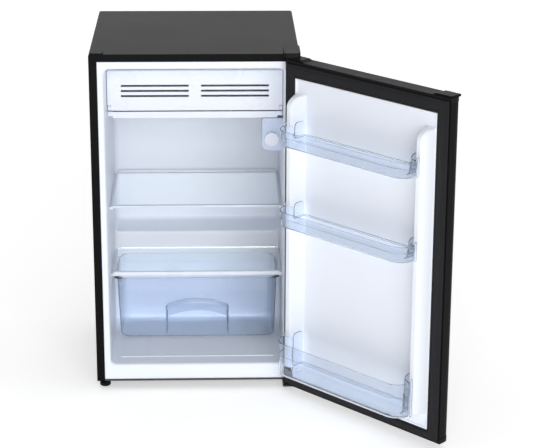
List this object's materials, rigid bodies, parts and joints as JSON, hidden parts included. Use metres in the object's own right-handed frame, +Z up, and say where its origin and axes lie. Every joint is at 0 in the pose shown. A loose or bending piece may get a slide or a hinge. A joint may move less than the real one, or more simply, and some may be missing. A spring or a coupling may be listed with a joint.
{
  "type": "mini fridge",
  "caption": "Single-door compact refrigerator with an inner freezer flap, glass shelves, crisper drawer, door bins and a rear condenser.",
  "frame": {"origin": "on the floor, at the centre of the cabinet's footprint", "axes": "+X to the hinge side, +Y to the back, +Z up"},
  "size_m": [0.804, 0.8551, 0.835],
  "materials": {
    "black_steel": "satin textured powder coat",
    "dark_steel": "satin",
    "zinc_steel": "zinc plated",
    "white_liner": "semi-gloss vacuum-formed sheet",
    "white_trim": "semi-gloss moulding",
    "clear_bin": "clear blue-tinted moulding",
    "shelf_glass": "polished tempered glass",
    "foam": "rigid foam",
    "black_plastic": "fine-grained moulding",
    "gasket_rubber": "soft matte vinyl",
    "black_rubber": "matte rubber",
    "magnet": "bonded ferrite strip",
    "aluminium": "brushed roll-bond sheet",
    "copper": "drawn copper tube",
    "compressor_paint": "gloss enamel",
    "control_grey": "plain moulding",
    "nylon": "natural nylon"
  },
  "bodies": {
    "cabinet": {"outer_shell": "black_steel", "back_panel": "dark_steel", "base_pan": "dark_steel", "lower_hinge_bracket": "dark_steel", "condenser": "dark_steel", "condenser_wires": "dark_steel", "upper_hinge_bracket": "zinc_steel", "upper_hinge_pin": "zinc_steel", "upper_hinge_screws": "zinc_steel", "lower_hinge_pin": "zinc_steel", "lower_hinge_screws": "zinc_steel", "rear_foot_screws": "zinc_steel", "compressor_bolts": "zinc_steel", "inner_liner": "white_liner", "freezer_frame": "white_trim", "drip_tray_rails": "white_trim", "thermostat_housing": "white_trim", "evaporator_spacers": "white_trim", "cabinet_foam": "foam", "upper_hinge_cover": "black_plastic", "left_corner_cap": "black_plastic", "rear_feet": "black_plastic", "starter_cover": "black_plastic", "condenser_brackets": "black_plastic", "compressor_grommets": "black_rubber", "cord_gland": "black_rubber", "evaporator_box": "aluminium", "thermostat_tube": "copper", "suction_pipe": "copper", "discharge_pipe": "copper", "filter_drier": "copper", "liquid_pipe": "copper", "capillary_tube": "copper", "compressor": "compressor_paint", "thermostat_body": "control_grey", "lower_hinge_washer": "nylon"},
    "door": {"door_skin": "black_steel", "door_top_cap": "black_plastic", "door_bottom_cap": "black_plastic", "door_foam": "foam", "door_liner": "white_liner", "door_gasket": "gasket_rubber", "gasket_magnets": "magnet", "upper_hinge_bush": "nylon", "lower_hinge_bush": "nylon"},
    "flap": {"freezer_flap": "white_trim"},
    "drip_tray": {"drip_tray": "white_trim"},
    "dial": {"thermostat_dial": "white_trim"},
    "upper_shelf": {"upper_shelf_glass": "shelf_glass", "upper_shelf_front_trim": "clear_bin", "upper_shelf_rear_trim": "white_trim"},
    "lower_shelf": {"lower_shelf_glass": "shelf_glass", "lower_shelf_trim": "white_trim"},
    "crisper": {"crisper_drawer": "clear_bin", "crisper_pull": "clear_bin"},
    "upper_bin": {"bin_upper": "clear_bin"},
    "middle_bin": {"bin_middle": "clear_bin"},
    "lower_bin": {"bin_lower": "clear_bin"},
    "left_foot": {"front_foot_left": "black_plastic"},
    "right_foot": {"front_foot_right": "black_plastic"}
  },
  "joints": [
    {"name": "door_hinge", "type": "hinge", "parent": "cabinet", "child": "door", "pos_m": [0.2275, -0.247, 0], "axis": [0, 0, 1], "range_deg": [-134, 6]},
    {"name": "flap_hinge", "type": "hinge", "parent": "cabinet", "child": "flap", "pos_m": [0, -0.114, 0.6685], "axis": [1, 0, 0], "range_deg": [0, 90]},
    {"name": "drip_tray_slide", "type": "slide", "parent": "cabinet", "child": "drip_tray", "axis": [0, -1, 0], "range_m": [0, 0.18]},
    {"name": "dial_turn", "type": "hinge", "parent": "cabinet", "child": "dial", "pos_m": [0.18, -0.11, 0.59], "axis": [0, -1, 0], "range_deg": [0, 270]},
    {"name": "upper_shelf_slide", "type": "slide", "parent": "cabinet", "child": "upper_shelf", "axis": [0, -1, 0], "range_m": [0, 0.2]},
    {"name": "lower_shelf_slide", "type": "slide", "parent": "cabinet", "child": "lower_shelf", "axis": [0, -1, 0], "range_m": [0, 0.15]},
    {"name": "crisper_slide", "type": "slide", "parent": "cabinet", "child": "crisper", "axis": [0, -1, 0], "range_m": [0, 0.15]},
    {"name": "upper_bin_lift", "type": "slide", "parent": "door", "child": "upper_bin", "axis": [0, 0, 1], "range_m": [0, 0.05]},
    {"name": "middle_bin_lift", "type": "slide", "parent": "door", "child": "middle_bin", "axis": [0, 0, 1], "range_m": [0, 0.05]},
    {"name": "lower_bin_lift", "type": "slide", "parent": "door", "child": "lower_bin", "axis": [0, 0, 1], "range_m": [0, 0.05]},
    {"name": "left_foot_turn", "type": "hinge", "parent": "cabinet", "child": "left_foot", "pos_m": [-0.222, -0.2, 0], "axis": [0, 0, 1], "range_deg": [-360, 360]},
    {"name": "right_foot_turn", "type": "hinge", "parent": "cabinet", "child": "right_foot", "pos_m": [0.222, -0.2, 0], "axis": [0, 0, 1], "range_deg": [-360, 360]}
  ]
}
